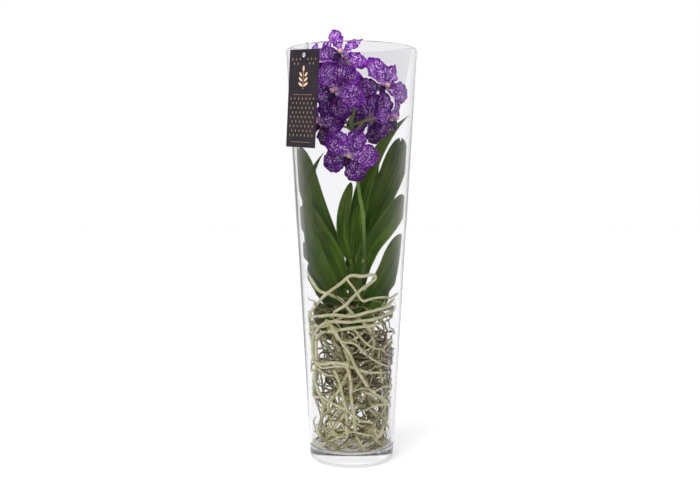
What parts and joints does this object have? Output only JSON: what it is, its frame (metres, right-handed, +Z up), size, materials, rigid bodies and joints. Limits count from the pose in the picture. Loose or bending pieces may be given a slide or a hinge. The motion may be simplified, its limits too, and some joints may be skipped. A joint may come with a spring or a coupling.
{
  "type": "vanda orchid in a glass vase",
  "caption": "Purple vanda orchid standing bare-rooted in a tall clear conical glass vase, with strap leaves, a flower spike and a hang tag on the rim.",
  "frame": {"origin": "centre of the vase's underside, which stands on the floor or a table", "axes": "+Z up along the vase's axis, -Y towards the viewer, +X to the viewer's right"},
  "size_m": [0.19, 0.19, 0.6251],
  "materials": {
    "vase": "clear polished",
    "tag": "printed card",
    "tag_strap": "clear",
    "stem": "satin plant skin",
    "leaf": "satin leaf",
    "flower_spike": "satin",
    "bloom": "soft petal",
    "roots": "matt spongy skin"
  },
  "bodies": {
    "root": {"vase": "vase", "tag": "tag", "tag_strap": "tag_strap", "stem": "stem", "flower_spike": "flower_spike", "roots": "roots", "leaf_right_1": "leaf", "leaf_right_2": "leaf", "leaf_right_3": "leaf", "leaf_right_4": "leaf", "leaf_right_5": "leaf", "leaf_left_1": "leaf", "leaf_left_2": "leaf", "leaf_left_3": "leaf", "leaf_left_4": "leaf", "leaf_left_5": "leaf", "leaf_left_6": "leaf", "leaf_top_left": "leaf", "leaf_top_right": "leaf", "bloom_1": "bloom", "bloom_2": "bloom", "bloom_3": "bloom", "bloom_4": "bloom", "bloom_5": "bloom", "bloom_6": "bloom", "bloom_7": "bloom", "bloom_8": "bloom", "bloom_9": "bloom"}
  },
  "joints": []
}
